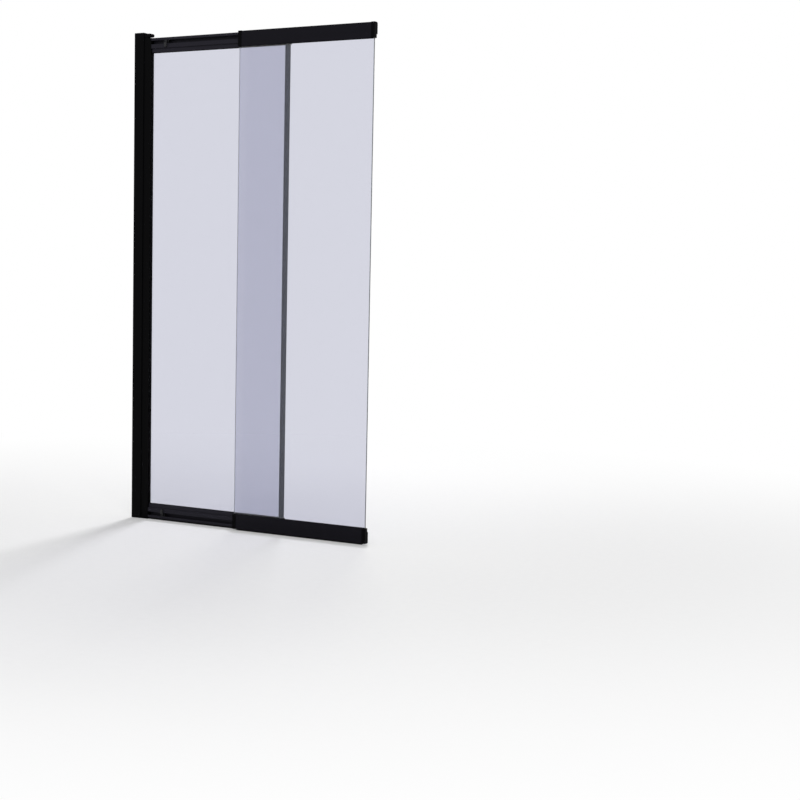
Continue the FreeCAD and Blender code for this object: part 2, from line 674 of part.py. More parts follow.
def rail_screws():
    """Pan head screws through the side profile's web into the rails' screw ports."""
    top = SIDE_WEB_FACE - RAIL_SCREW_HEAD_HEIGHT
    steps = [
        (RAIL_SCREW_HEAD, top, SIDE_WEB_FACE),
        (RAIL_SCREW_DIAMETER, SIDE_WEB_FACE, SIDE_RIGHT + RAIL_SCREW_BITE),
    ]
    screws = []
    for y, z in rail_screw_places():
        screw = turned(stepped(steps), V(0, y, z), "X")
        screws.append(screw.cut(cross_recess(RAIL_SCREW_DIAMETER, V(top, y, z), "X")))
    return Part.makeCompound(screws)


def adjusting_screws():
    """Pan head screws that slide in the channel's slots and hold the side profile."""
    seat = CHANNEL_BACK + RUNNING_FIT
    top = seat + ADJUST_SCREW_HEAD_HEIGHT
    steps = [
        (ADJUST_SCREW_DIAMETER, seat - ADJUST_SCREW_LENGTH, seat),
        (ADJUST_SCREW_HEAD, seat, top),
    ]
    screws = []
    for z in adjust_heights():
        screw = turned(stepped(steps), V(ADJUST_X, 0, z), "Y")
        screws.append(screw.cut(cross_recess(ADJUST_SCREW_DIAMETER, V(ADJUST_X, top, z), "Y")))
    return Part.makeCompound(screws)


def adjusting_screw_covers():
    """Snap-on cups over the adjusting screws' heads."""
    low = CHANNEL_BACK + WIPE_GAP
    inside = CHANNEL_BACK + RUNNING_FIT + ADJUST_SCREW_HEAD_HEIGHT
    top = inside + COVER_WALL
    grip = ADJUST_SCREW_HEAD / 2
    rim = grip + COVER_RIM
    profile = [
        (grip, low),
        (rim, low),
        (rim, inside),
        (rim - COVER_WALL, top),
        (0.0, top),
        (0.0, inside),
        (grip, inside),
    ]
    return Part.makeCompound([turned(profile, V(ADJUST_X, 0, z), "Y") for z in adjust_heights()])


def side_gasket():
    half = GLASS_POCKET / 2
    end = SIDE_RIGHT + GASKET_PROUD
    outer = box(POCKET_FLOOR, end, -half, half, OPEN_LOW, OPEN_HIGH)
    inside = half - GASKET_THICKNESS
    return outer.cut(box(POCKET_FLOOR + GASKET_THICKNESS, end, -inside, inside, OPEN_LOW, OPEN_HIGH))


def panel_seal():
    """Edge seal on the fixed glass, with a fin that closes the gap to the sliding glass."""
    edge = FIXED_END - CAP_WALL
    grip = edge - SEAL_GRIP
    right = edge + SEAL_WALL
    half = GLASS_THICKNESS / 2
    out = half + SEAL_WALL
    fin_tip = SLIDING_GLASS_Y + half + WIPE_GAP
    outline = [
        (grip, -half, 0.0),
        (grip, -out, 0.0),
        (right - SEAL_FIN, -out, 0.0),
        (right - SEAL_FIN, fin_tip, 0.0),
        (right, fin_tip, 0.0),
        (right, out, SEAL_WALL / 2),
        (grip, out, 0.0),
        (grip, half, 0.0),
        (edge, half, 0.0),
        (edge, -half, 0.0),
    ]
    return along_z(outline, OPEN_LOW + WIPE_GAP, OPEN_HIGH - WIPE_GAP)


def floor_seal(x0, x1, middle, foot):
    """Two-legged strip under a bottom rail, with its feet at a given height."""
    half = RIM_SEAL_WIDTH / 2
    top = RAIL_Z["bottom"]
    outline = [
        (middle - half, top, 0.0),
        (middle - half, foot, 0.0),
        (middle - half + SEAL_FIN, foot, 0.0),
        (middle - half + SEAL_FIN, top - SEAL_WALL, 0.0),
        (middle + half - SEAL_FIN, top - SEAL_WALL, 0.0),
        (middle + half - SEAL_FIN, foot, 0.0),
        (middle + half, foot, 0.0),
        (middle + half, top, 0.0),
    ]
    return along_x(outline, x0, x1)


def seal_middle(panel):
    return FACE_Y[panel] + (RAIL_DEPTH / 2 if panel == "sliding" else -RAIL_DEPTH / 2)


def panel_pieces(panel):
    """Rails, gaskets and carriage sets that both panels have."""
    pieces = {}
    for level in LEVELS:
        pieces[f"{panel}_{level}_rail"] = panel_rail(panel, level)
        pieces[f"{panel}_{level}_gasket"] = rail_gasket(panel, level)
        pieces[f"{panel}_{level}_carriage"] = at_carriage(carriage(), panel, level)
        for name, s in ROLLER_S.items():
            pieces[f"{panel}_{level}_{name}_roller"] = at_carriage(roller(s), panel, level)
    sets = {
        "axles": [axle(s) for s in ROLLER_S.values()],
        "axle_clips": [axle_clip(s) for s in ROLLER_S.values()],
        "carriage_screws": [carriage_screw(0.0)],
        "buffers": [buffer()],
    }
    for name, solids in sets.items():
        placed = [at_carriage(solid, panel, level) for level in LEVELS for solid in solids]
        pieces[f"{panel}_{name}"] = Part.makeCompound(placed)
    return pieces


def fixed_pieces():
    cap = end_cap()
    cap_reach = CAP_WALL + CAP_SLEEVE
    pieces = {
        "side_profile": side_profile(),
        "side_profile_cap": side_profile_cap(),
        "side_gasket": side_gasket(),
        "rail_screws": rail_screws(),
        "adjusting_screws": adjusting_screws(),
        "adjusting_screw_covers": adjusting_screw_covers(),
        "fixed_glass": glass(POCKET_FLOOR + GASKET_THICKNESS, FIXED_END - CAP_WALL, 0.0),
        "panel_seal": panel_seal(),
        "rim_seal": floor_seal(SIDE_RIGHT, FIXED_END - cap_reach - WIPE_GAP, seal_middle("fixed"), 0.0),
    }
    plates, screws = [], []
    for level in LEVELS:
        pieces[f"fixed_{level}_end_cap"] = at_carriage(cap, "fixed", level)
        pieces[f"{level}_stop_bumper"] = place(stop_bumper(), "fixed", level, 0.0)
        plates.append(place(stop_plate(), "fixed", level, 0.0))
        screws.append(place(stop_screw(), "fixed", level, 0.0))
    pieces["stop_plates"] = Part.makeCompound(plates)
    pieces["stop_screws"] = Part.makeCompound(screws)
    return pieces


def sliding_pieces():
    cap = end_cap()
    cap_reach = CAP_WALL + CAP_SLEEVE + WIPE_GAP
    low, high = SLIDING_START + cap_reach, SCREEN_WIDTH - cap_reach
    start, end = rail_span("sliding")
    pieces = {
        "sliding_glass": glass(start, end, SLIDING_GLASS_Y),
        "wiper_seal": floor_seal(low, high, seal_middle("sliding"), WIPE_GAP),
    }
    for level in LEVELS:
        pieces[f"sliding_{level}_left_end_cap"] = place(cap, "sliding", level, SLIDING_START)
        far = place(cap, "sliding", level, SCREEN_WIDTH, from_end=True)
        pieces[f"sliding_{level}_right_end_cap"] = far
    return pieces


def roller_axes():
    """Middle of every roller, by node name."""
    axes = {}
    for panel in PANELS:
        for level in LEVELS:
            for name, s in ROLLER_S.items():
                x = SLIDING_START + s if panel == "sliding" else FIXED_END - s
                y = FACE_Y[panel] + (ROLLER_U if panel == "sliding" else -ROLLER_U)
                z = RAIL_Z[level] + (AXLE_V if level == "bottom" else -AXLE_V)
                axes[f"{panel}_{level}_{name}_roller"] = (x, y, z)
    return axes


def main():
    os.makedirs("parts", exist_ok=True)
    pieces = {"wall_channel": wall_channel(), "wall_channel_cap": wall_channel_cap()}
    pieces.update(fixed_pieces())
    pieces.update(sliding_pieces())
    for panel in PANELS:
        pieces.update(panel_pieces(panel))
    for name, shape in pieces.items():
        shape.exportStep(f"parts/{name}.step")
        valid = "" if shape.isValid() else "  NOT VALID"
        print(f"{name}: {len(shape.Solids)} solids, {shape.Volume / 1000:.2f} cm3{valid}")
    print(f"{len(pieces)} nodes, sliding travel {SLIDE_TRAVEL:.1f} mm, rail {RAIL_HEIGHT:.1f} mm high")


main()
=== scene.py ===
# %% [markdown]
# # A sliding bath screen
#
# This lesson dresses a bath screen of two glass panels in black frames. One panel is held by a channel
# that takes up a wall out of plumb, and the other rolls along the first one's rails on small wheels. The
# solids come from the workshop drawing and are loaded as they are. What is left to do here is what a
# photographer and a finisher would do: light, floor, camera, paint, glass and the soft rubber pieces.

# %% Load the solids
import json
import math

import bmesh
import bpy
from mathutils import Matrix, Vector


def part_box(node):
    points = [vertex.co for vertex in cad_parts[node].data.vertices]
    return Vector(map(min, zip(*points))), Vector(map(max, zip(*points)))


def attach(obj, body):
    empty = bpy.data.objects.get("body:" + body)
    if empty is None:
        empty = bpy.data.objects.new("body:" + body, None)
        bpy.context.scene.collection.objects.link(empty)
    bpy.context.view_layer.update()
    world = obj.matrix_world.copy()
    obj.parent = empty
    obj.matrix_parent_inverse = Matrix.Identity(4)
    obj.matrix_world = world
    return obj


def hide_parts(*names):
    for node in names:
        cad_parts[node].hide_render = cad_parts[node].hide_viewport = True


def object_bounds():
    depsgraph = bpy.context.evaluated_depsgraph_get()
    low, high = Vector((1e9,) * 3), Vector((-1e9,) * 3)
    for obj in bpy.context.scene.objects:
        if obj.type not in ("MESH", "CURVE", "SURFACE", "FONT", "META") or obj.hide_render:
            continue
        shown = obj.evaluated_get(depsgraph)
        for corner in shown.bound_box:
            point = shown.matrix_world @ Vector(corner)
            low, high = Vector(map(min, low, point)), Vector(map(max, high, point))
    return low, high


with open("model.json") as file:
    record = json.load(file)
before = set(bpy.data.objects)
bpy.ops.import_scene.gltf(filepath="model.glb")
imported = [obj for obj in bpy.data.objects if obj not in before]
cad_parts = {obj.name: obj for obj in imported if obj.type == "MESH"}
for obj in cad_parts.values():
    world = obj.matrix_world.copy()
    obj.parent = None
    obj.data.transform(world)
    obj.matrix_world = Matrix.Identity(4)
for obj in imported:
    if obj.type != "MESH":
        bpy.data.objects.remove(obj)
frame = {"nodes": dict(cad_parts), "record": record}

nodes = frame["nodes"]
cad_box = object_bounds()
print(len(nodes), "solids, overall size in metres:", [round(s, 4) for s in cad_box[1] - cad_box[0]])

# %% [markdown]
# ## The point of view
#
# Seen from the front and from the right, the free end is nearest to us and the wall channel is further
# off. The camera is turned by 28 degrees, stands a little above the middle of the glass, looks slightly
# down and leans by about one degree. Turning it in three plain steps, first the lean, then up from the
# floor, then round the upright axis, is easier to read than one set of mixed angles. A long lens keeps the
# uprights nearly parallel.

# %% Camera
CAMERA_PLACE = Vector((2.82647, -3.57906, 0.72724))
CAMERA_TURN = 28.496
CAMERA_DOWN = 4.664
CAMERA_LEAN = 1.195
CAMERA_LENS = 69.3
SENSOR_WIDTH = 36.0


def let_go():
    """Deselect everything, so that the next operator acts on the new piece alone."""
    bpy.ops.object.select_all(action="DESELECT")


scene = bpy.context.scene
scene.view_settings.view_transform = "Standard"
let_go()
bpy.ops.object.camera_add(location=CAMERA_PLACE)
camera = bpy.context.object
camera.name = "camera"
camera.data.sensor_width = SENSOR_WIDTH
camera.data.lens = CAMERA_LENS
camera.matrix_world = (
    Matrix.Translation(CAMERA_PLACE)
    @ Matrix.Rotation(math.radians(CAMERA_TURN), 4, "Z")
    @ Matrix.Rotation(math.radians(90.0 - CAMERA_DOWN), 4, "X")
    @ Matrix.Rotation(math.radians(CAMERA_LEAN), 4, "Z")
)
scene.camera = camera
print("camera", round(camera.location.length, 2), "m from the foot of the wall channel")

# %% [markdown]
# ## Writing finishes as sums
#
# A finish is a small network of nodes. Wiring each one by hand hides what it means, so two helpers let us
# write it as a sum. `Wire` stands for one output of a node and knows plus, minus and times. `Finish` holds
# a node tree and adds any node by its type, its settings and its sockets.

# %% One output of a node
class Wire:
    """One output of a node, to be used in sums and as a link."""

    def __init__(self, finish, socket):
        self.finish = finish
        self.socket = socket

    def math(self, operation, other, swapped=False):
        first, second = (other, self) if swapped else (self, other)
        return self.finish.node("Math", {"operation": operation}, {0: first, 1: second})

    def __add__(self, other):
        return self.math("ADD", other)

    def __radd__(self, other):
        return self.math("ADD", other, swapped=True)

    def __sub__(self, other):
        return self.math("SUBTRACT", other)

    def __rsub__(self, other):
        return self.math("SUBTRACT", other, swapped=True)

    def __mul__(self, other):
        return self.math("MULTIPLY", other)

    def __rmul__(self, other):
        return self.math("MULTIPLY", other, swapped=True)

    def over(self, limit):
        return self.math("GREATER_THAN", limit)

    def larger(self, other):
        return self.math("MAXIMUM", other)


print("wires can be added, subtracted, multiplied and compared")

# %% A node tree in the making
EVEN = (1.0, 1.0, 1.0)


class Finish:
    """A node tree that grows by one node at a time."""

    def __init__(self, tree):
        self.tree = tree
        tree.nodes.clear()

    def node(self, kind, settings, sockets, output=0):
        made = self.tree.nodes.new("ShaderNode" + kind)
        for name, value in settings.items():
            setattr(made, name, value)
        for name, value in sockets.items():
            if isinstance(value, Wire):
                self.tree.links.new(value.socket, made.inputs[name])
            else:
                made.inputs[name].default_value = value
        return Wire(self, made.outputs[output]) if made.outputs else None

    def place(self, stretch=EVEN):
        """Object coordinates in metres, stretched along the axes."""
        where = self.node("TexCoord", {}, {}, "Object")
        return self.node("Mapping", {}, {"Vector": where, "Scale": stretch})

    def noise(self, size, detail, stretch=EVEN):
        """Soft random patches of about this size in metres."""
        sockets = {"Vector": self.place(stretch), "Scale": 1.0 / size, "Detail": detail}
        return self.node("TexNoise", {}, sockets, "Fac")

    def between(self, low, high, value):
        """0 below low, 1 above high, eased between."""
        sockets = {"Value": value, "From Min": low, "From Max": high}
        return self.node("MapRange", {"interpolation_type": "SMOOTHSTEP"}, sockets)

    def mixed(self, share, first, second):
        """A colour between two colours, which are sockets 6 and 7 of the Mix node and give its output 2."""
        sockets = {0: share, 6: (*first, 1.0), 7: (*second, 1.0)}
        return self.node("Mix", {"data_type": "RGBA"}, sockets, 2)

    def bump(self, height, depth, strength):
        return self.node("Bump", {}, {"Height": height, "Distance": depth, "Strength": strength})

    def surface(self, shader):
        self.node("OutputMaterial", {}, {"Surface": shader})


def new_finish(name):
    """A new material, and its node tree to grow."""
    material = bpy.data.materials.new(name)
    material.use_nodes = True
    return material, Finish(material.node_tree)


print("finishes can be written as sums")

# %% [markdown]
# ## A white studio
#
# The screen stands on a pale floor in a white studio. What the eye sees behind the glass, and what the
# glass and the paint mirror, is plain white. The light that falls on the screen is weaker than that, or
# the picture would wash out, so the world is split by kind of ray: what is looked at or mirrored gets a
# strength of one, and what only lights the surfaces gets less. The rest of the light comes from two lamps,
# which come after the floor.

# %% World
STUDIO_LIGHT = 0.42
WHITE = (1.0, 1.0, 1.0, 1.0)

world = bpy.data.worlds.new("white_studio")
scene.world = world
world.use_nodes = True
studio = Finish(world.node_tree)


def seen_ray(finish):
    """1 for what is looked at, mirrored or seen through glass, 0 for light that only falls on a surface."""
    seen = finish.node("LightPath", {}, {}, "Is Camera Ray")
    for kind in ("Is Glossy Ray", "Is Transmission Ray"):
        seen = seen.larger(finish.node("LightPath", {}, {}, kind))
    return seen


strength = STUDIO_LIGHT + (1.0 - STUDIO_LIGHT) * seen_ray(studio)
backdrop = studio.node("Background", {}, {"Color": WHITE, "Strength": strength})
studio.node("OutputWorld", {}, {"Surface": backdrop})
print("studio light", STUDIO_LIGHT)

# %% [markdown]
# ## Floor
#
# The floor is a large flat sheet just below the seals, so that no two faces share a plane. Near the screen
# it is a matt pale surface that takes a shadow, lifted a little towards white. Further out it fades into
# the white of the studio altogether, so that no horizon cuts through the glass.

# %% Floor
FLOOR_DROP = 0.0006
FLOOR_SIZE = 60.0
FLOOR_COOL = (0.86, 0.86, 0.865)
FLOOR_PALE = (0.9, 0.9, 0.9)
FLOOR_SPECK = 0.02
FLOOR_LIFT = 0.16
FLOOR_FADE = (0.8, 2.6)
SCREEN_MIDDLE = (cad_box[0] + cad_box[1]) / 2

let_go()
bpy.ops.mesh.primitive_plane_add(size=FLOOR_SIZE, location=(SCREEN_MIDDLE.x, 0.0, -FLOOR_DROP))
floor = bpy.context.object
floor.name = "floor"

floor_paint, paint = new_finish("pale_floor")
speck = paint.noise(FLOOR_SPECK, detail=3.0)
matt = paint.node("BsdfPrincipled", {}, {
    "Base Color": paint.mixed(speck, FLOOR_COOL, FLOOR_PALE),
    "Roughness": 0.75 + 0.1 * speck,
    "Specular IOR Level": 0.1,
})
from_screen = paint.node("VectorMath", {"operation": "LENGTH"}, {0: paint.place()}, "Value")
glow = paint.node("Emission", {}, {"Color": WHITE, "Strength": 1.0})
lift = FLOOR_LIFT + (1.0 - FLOOR_LIFT) * paint.between(*FLOOR_FADE, from_screen)
paint.surface(paint.node("MixShader", {}, {0: lift * seen_ray(paint), 1: matt, 2: glow}))
floor.data.materials.append(floor_paint)
print("floor", FLOOR_SIZE, "m wide")

# %% [markdown]
# ## Lamps
#
# A broad lamp on the front side fills the faces that we see. A smaller one stands high up behind the
# screen and throws its shadow forward, with an edge that is soft but still shows. Neither lamp is seen
# through the glass, and the smaller one is also kept out of mirrored rays, so that no bright square shows
# in the panes.

# %% Lamps
def soft_lamp(name, place, size, power):
    """A square lamp that looks at the middle of the screen."""
    bpy.ops.object.light_add(type="AREA", location=place)
    lamp = bpy.context.object
    lamp.name = name
    lamp.data.shape = "SQUARE"
    lamp.data.size = size
    lamp.data.energy = power
    lamp.visible_transmission = False
    lamp.rotation_euler = (SCREEN_MIDDLE - Vector(place)).to_track_quat("-Z", "Y").to_euler()
    return lamp


front_lamp = soft_lamp("lamp_in_front", place=(1.9, -2.6, 2.7), size=2.0, power=42.0)
shadow_lamp = soft_lamp("lamp_behind", place=(-0.5, 2.4, 3.2), size=0.7, power=88.0)
shadow_lamp.visible_glossy = False
print("lamps:", front_lamp.name, shadow_lamp.name)

# %% [markdown]
# ## Black powder coat
#
# The rails, the wall channel and the side profile are aluminium pulled through a die and then powder
# coated. Under a lens such paint is not flat black: it has the soft dimples of orange peel, about a
# millimetre across, faint lines along the bar from the die, and patches that were baked a little duller.
# The dimples go into the surface slope, the lines and patches into the roughness, and the colour hardly
# changes at all. The mirrored light of a matt coat is weak, so the specular level is set low. It is all
# one coat, but there are three mixes of it: the slotted rails get a lighter colour, which is painted light
# for their many lips catching more light, and the uprights get a darker colour, which is painted shade.

# %% Powder coat
PEEL_SIZE = 0.0011
PEEL_DEPTH = 0.00008
DIE_LINE_SIZE = 0.0016
DIE_LINE_STRETCH = 0.004
DULL_PATCH_SIZE = 0.11


def powder_coat(name, along, dark, light, gloss):
    """Satin black paint on a bar that was drawn along one axis."""
    material, finish = new_finish(name)
    stretch = list(EVEN)
    stretch["XYZ".index(along)] = DIE_LINE_STRETCH
    peel = finish.noise(PEEL_SIZE, detail=2.0)
    die_lines = finish.noise(DIE_LINE_SIZE, detail=3.0, stretch=stretch)
    patches = finish.noise(DULL_PATCH_SIZE, detail=3.0)
    finish.surface(finish.node("BsdfPrincipled", {}, {
        "Base Color": finish.mixed(0.5 * patches + 0.5 * die_lines, dark, light),
        "Roughness": 0.33 + 0.12 * patches + 0.16 * die_lines,
        "Specular IOR Level": gloss,
        "Normal": finish.bump(peel + 0.7 * die_lines, PEEL_DEPTH, strength=0.5),
    }))
    return material


rail_coat = powder_coat(
    "powder_coat_rail", along="X",
    dark=(0.003, 0.0026, 0.0048), light=(0.0074, 0.0067, 0.0108), gloss=0.07,
)
# A lighter copy of the same coat: painted light on the slotted rails.
lit_slotted_coat = powder_coat(
    "powder_coat_slotted_rail_painted_light", along="X",
    dark=(0.011, 0.0102, 0.0155), light=(0.0225, 0.0212, 0.0295), gloss=0.075,
)
# A darker copy of the same coat: painted shade on the uprights.
shaded_upright_coat = powder_coat(
    "powder_coat_upright_painted_shade", along="Z",
    dark=(0.0006, 0.0006, 0.0008), light=(0.002, 0.002, 0.0024), gloss=0.03,
)
print("coats:", rail_coat.name, lit_slotted_coat.name, shaded_upright_coat.name)

# %% [markdown]
# ## Toughened glass
#
# Each pane is five millimetres thick with ground edges. Seen square on it is clear with a cool grey cast.
# At the ground edges it is frosted and darker, because light enters there from all sides and is scattered.
# The edges are found by their place along the pane. A pane would throw a hard dark shadow if its
# refraction were traced for every lamp, so shadow rays pass straight through, only a little weakened.

# %% Glass
PANE_TINT = (0.65, 0.657, 0.742)
EDGE_TINT = (0.26, 0.29, 0.32)
SHADOW_TINT = (0.86, 0.86, 0.89, 1.0)
GLASS_IOR = 1.5
GROUND_EDGE = 0.0009
WIPE_MARK_SIZE = 0.06
WIPE_MARK_STRETCH = (1.0, 1.0, 0.35)
WIPE_MARK_RANGE = (0.45, 0.8)


def toughened_glass(name, pane):
    """Clear glass for one pane, frosted along its two upright edges."""
    material, finish = new_finish(name)
    low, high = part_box(pane)
    across = finish.node("SeparateXYZ", {}, {"Vector": finish.place()}, "X")
    ground = (across - (high.x - GROUND_EDGE)).over(0.0)
    ground = ground.larger((low.x + GROUND_EDGE - across).over(0.0))
    marks = finish.noise(WIPE_MARK_SIZE, detail=4.0, stretch=WIPE_MARK_STRETCH)
    wipe_marks = finish.between(*WIPE_MARK_RANGE, marks)
    clear = finish.node("BsdfPrincipled", {}, {
        "Base Color": finish.mixed(ground, PANE_TINT, EDGE_TINT),
        "Roughness": 0.002 + 0.006 * wipe_marks + 0.3 * ground,
        "IOR": GLASS_IOR,
        "Transmission Weight": 1.0,
    })
    shadow = finish.node("LightPath", {}, {}, "Is Shadow Ray")
    open_way = finish.node("BsdfTransparent", {}, {"Color": SHADOW_TINT})
    finish.surface(finish.node("MixShader", {}, {0: shadow, 1: clear, 2: open_way}))
    return material


fixed_glass_finish = toughened_glass("glass_fixed", "fixed_glass")
sliding_glass_finish = toughened_glass("glass_sliding", "sliding_glass")
print("glass tint of one face", PANE_TINT)

# %% [markdown]
# ## Rubber, plastic, nylon and steel
#
# The small pieces share a few plain finishes. Extruded rubber is dull, with a faint pale bloom. Moulded
# plastic has the fine even grain of a spark-eroded mould, and the milky nylon of the wheels is made the
# same way. The steel pieces carry fine brushed lines and faint patches. Axles, clips and hidden screws are
# bright, and the screws and plates close to the faces of the rails are blackened.

# %% Rubber
RUBBER_GRAIN = 0.0005
RUBBER_GRAIN_DEPTH = 0.00004
BLOOM_SIZE = 0.03


def extruded_rubber(name, dark, light, dull, gloss):
    material, finish = new_finish(name)
    grain = finish.noise(RUBBER_GRAIN, detail=2.0)
    bloom = finish.noise(BLOOM_SIZE, detail=4.0)
    finish.surface(finish.node("BsdfPrincipled", {}, {
        "Base Color": finish.mixed(bloom, dark, light),
        "Roughness": dull + 0.14 * bloom + 0.06 * grain,
        "Specular IOR Level": gloss,
        "Normal": finish.bump(grain, RUBBER_GRAIN_DEPTH, strength=0.5),
    }))
    return material


seal_rubber = extruded_rubber(
    "seal_rubber", dark=(0.004, 0.004, 0.005), light=(0.01, 0.01, 0.012), dull=0.55, gloss=0.06
)
edge_seal = extruded_rubber(
    "edge_seal_grey", dark=(0.019, 0.025, 0.043), light=(0.036, 0.045, 0.071), dull=0.5, gloss=0.12
)
bumper_rubber = extruded_rubber(
    "bumper_rubber", dark=(0.022, 0.022, 0.024), light=(0.036, 0.036, 0.039), dull=0.42, gloss=0.14
)
print("rubber:", seal_rubber.name, edge_seal.name, bumper_rubber.name)

# %% Plastic and nylon
PLASTIC_GRAIN = 0.00045
PLASTIC_GRAIN_DEPTH = 0.00006
FLOW_MARK_SIZE = 0.02


def moulded_plastic(name, dark, light, gloss):
    material, finish = new_finish(name)
    grain = finish.noise(PLASTIC_GRAIN, detail=1.0)
    flow = finish.noise(FLOW_MARK_SIZE, detail=2.0)
    finish.surface(finish.node("BsdfPrincipled", {}, {
        "Base Color": finish.mixed(flow, dark, light),
        "Roughness": 0.42 + 0.12 * flow + 0.08 * grain,
        "Specular IOR Level": gloss,
        "Normal": finish.bump(grain, PLASTIC_GRAIN_DEPTH, strength=0.6),
    }))
    return material


cap_plastic = moulded_plastic(
    "cap_plastic", dark=(0.0016, 0.0015, 0.0019), light=(0.0036, 0.0034, 0.0042), gloss=0.025
)
carriage_plastic = moulded_plastic(
    "carriage_acetal", dark=(0.03, 0.03, 0.034), light=(0.05, 0.05, 0.055), gloss=0.35
)
wheel_nylon = moulded_plastic("wheel_nylon", dark=(0.6, 0.59, 0.55), light=(0.7, 0.69, 0.66), gloss=0.45)
print("plastic:", cap_plastic.name, carriage_plastic.name, wheel_nylon.name)

# %% Steel
BRUSHED_SIZE = 0.0004
BRUSHED_STRETCH = (1.0, 0.15, 1.0)
BRUSHED_DEPTH = 0.00002
STEEL_PATCH_SIZE = 0.004


def brushed_steel(name, dark, light, dull):
    material, finish = new_finish(name)
    brushed = finish.noise(BRUSHED_SIZE, detail=3.0, stretch=BRUSHED_STRETCH)
    patches = finish.noise(STEEL_PATCH_SIZE, detail=2.0)
    finish.surface(finish.node("BsdfPrincipled", {}, {
        "Base Color": finish.mixed(patches, dark, light),
        "Metallic": 1.0,
        "Roughness": dull + 0.12 * brushed + 0.08 * patches,
        "Normal": finish.bump(brushed, BRUSHED_DEPTH, strength=0.4),
    }))
    return material


steel = brushed_steel("bright_steel", dark=(0.52, 0.52, 0.53), light=(0.66, 0.66, 0.66), dull=0.24)
black_steel = brushed_steel(
    "black_zinc_steel", dark=(0.012, 0.012, 0.014), light=(0.024, 0.024, 0.027), dull=0.34
)
print("steel:", steel.name, black_steel.name)

# %% [markdown]
# ## Modelling by hand
#
# The rubber pieces are soft mouldings with round lips, which the solids show as plain blocks. They are
# modelled here as one would with the mouse: add a primitive, pick a face or an edge, pull it out, taper
# it, round it off. A few helpers take the place of the mouse. `begin` puts a new primitive into edit mode,
# `pick` selects by place, `pull` extrudes what is picked and tapers its new end, and `end` cleans up.
# `settle` then says what the piece moves with and which solid it stands for.

# %% Begin, pick and pull
NEAR = 0.00005


def begin(name):
    """Go into edit mode on the primitive that was just added, with its place in its mesh."""
    piece = bpy.context.object
    piece.name = piece.data.name = name
    bpy.ops.object.transform_apply(location=True, rotation=True, scale=True)
    bpy.ops.object.mode_set(mode="EDIT")
    bpy.ops.mesh.select_all(action="DESELECT")
    return piece


def pick(kind, wanted):
    """Select the vertices, edges or faces whose middle passes a test, and nothing else."""
    bpy.ops.mesh.select_mode(type=kind)
    bpy.ops.mesh.select_all(action="DESELECT")
    mesh = bmesh.from_edit_mesh(bpy.context.object.data)
    group = {"VERT": mesh.verts, "EDGE": mesh.edges, "FACE": mesh.faces}[kind]
    for element in group:
        corners = [element] if kind == "VERT" else element.verts
        middle = sum((v.co for v in corners), Vector()) / len(corners)
        element.select_set(wanted(middle))
    bmesh.update_edit_mesh(bpy.context.object.data)


def near(place):
    """A test that a middle is at this place."""
    return lambda middle: (middle - Vector(place)).length < NEAR


def pull(way, taper=EVEN):
    """Extrude what is picked and scale its new end about its own middle."""
    bpy.ops.mesh.extrude_region_move(TRANSFORM_OT_translate={"value": way})
    mesh = bmesh.from_edit_mesh(bpy.context.object.data)
    moved = [v.co for v in mesh.verts if v.select]
    middle = sum(moved, Vector()) / len(moved)
    bpy.ops.transform.resize(value=taper, center_override=middle)


def pull_section(way):
    """Extrude the whole section into a bar."""
    bpy.ops.mesh.select_all(action="SELECT")
    pull(way)


print("edges and points are found within", NEAR, "m of their place")

# %% End and settle
SAME_POINT = 0.000001
ROUND_STEPS = 2
SHARP_ABOVE = math.radians(40.0)
SMOOTH_BELOW = math.radians(35.0)


def end(piece, round_off=0.0):
    """Leave edit mode with faces outward, round the sharp edges and shade the rest smooth."""
    bpy.ops.mesh.select_all(action="SELECT")
    bpy.ops.mesh.remove_doubles(threshold=SAME_POINT)
    bpy.ops.mesh.normals_make_consistent(inside=False)
    bpy.ops.object.mode_set(mode="OBJECT")
    if round_off:
        rounding = piece.modifiers.new("rounding", "BEVEL")
        rounding.width = round_off
        rounding.segments = ROUND_STEPS
        rounding.limit_method = "ANGLE"
        rounding.angle_limit = SHARP_ABOVE
        bpy.ops.object.modifier_apply(modifier=rounding.name)
    bpy.ops.object.shade_smooth_by_angle(angle=SMOOTH_BELOW)
    print(piece.name, len(piece.data.polygons), "faces")
    return piece


def settle(piece, body, slot, finish, *replaced):
    """Give a finished piece its body, its material and the solids that it stands for."""
    piece.data.materials.clear()
    piece.data.materials.append(finish)
    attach(piece, body)
    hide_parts(*replaced)


print("points closer than", SAME_POINT, "m are merged")

# %% [markdown]
# ## Edge seal of the fixed pane
#
# A strip of grey rubber clips over the free edge of the fixed pane, and its fin reaches across to the
# sliding pane to keep the water in. It is an extrusion, so one section pulled up the whole height gives
# the strip. The section starts as the web on the pane's edge. Two legs are pulled back along the pane,
# thinner towards their lips. The fin is pulled forward in short steps that lean back towards the wall
# channel, and the last two steps make a bead at its tip.

# %% Edge seal
LEG_STEPS = ((0.6, -0.0001, 0.8), (0.4, 0.00005, 0.65))
FIN_STEPS = (
    (-0.00005, 0.14, 0.95),
    (-0.00025, 0.2, 0.9),
    (-0.00055, 0.22, 0.9),
    (-0.00085, 0.22, 0.9),
    (-0.0009, 0.14, 1.0),
    (0.0, 0.05, 1.8),
    (0.0, 0.03, 0.55),
)
STRIP_ROUND = 0.00012
seal_low, seal_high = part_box("panel_seal")
pane_low, pane_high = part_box("fixed_glass")
strip_wall = seal_high.x - pane_high.x
web_x = pane_high.x + strip_wall / 2
leg_reach = seal_low.x - pane_high.x
fin_reach = seal_low.y + pane_high.y + strip_wall
foot_z = seal_low.z

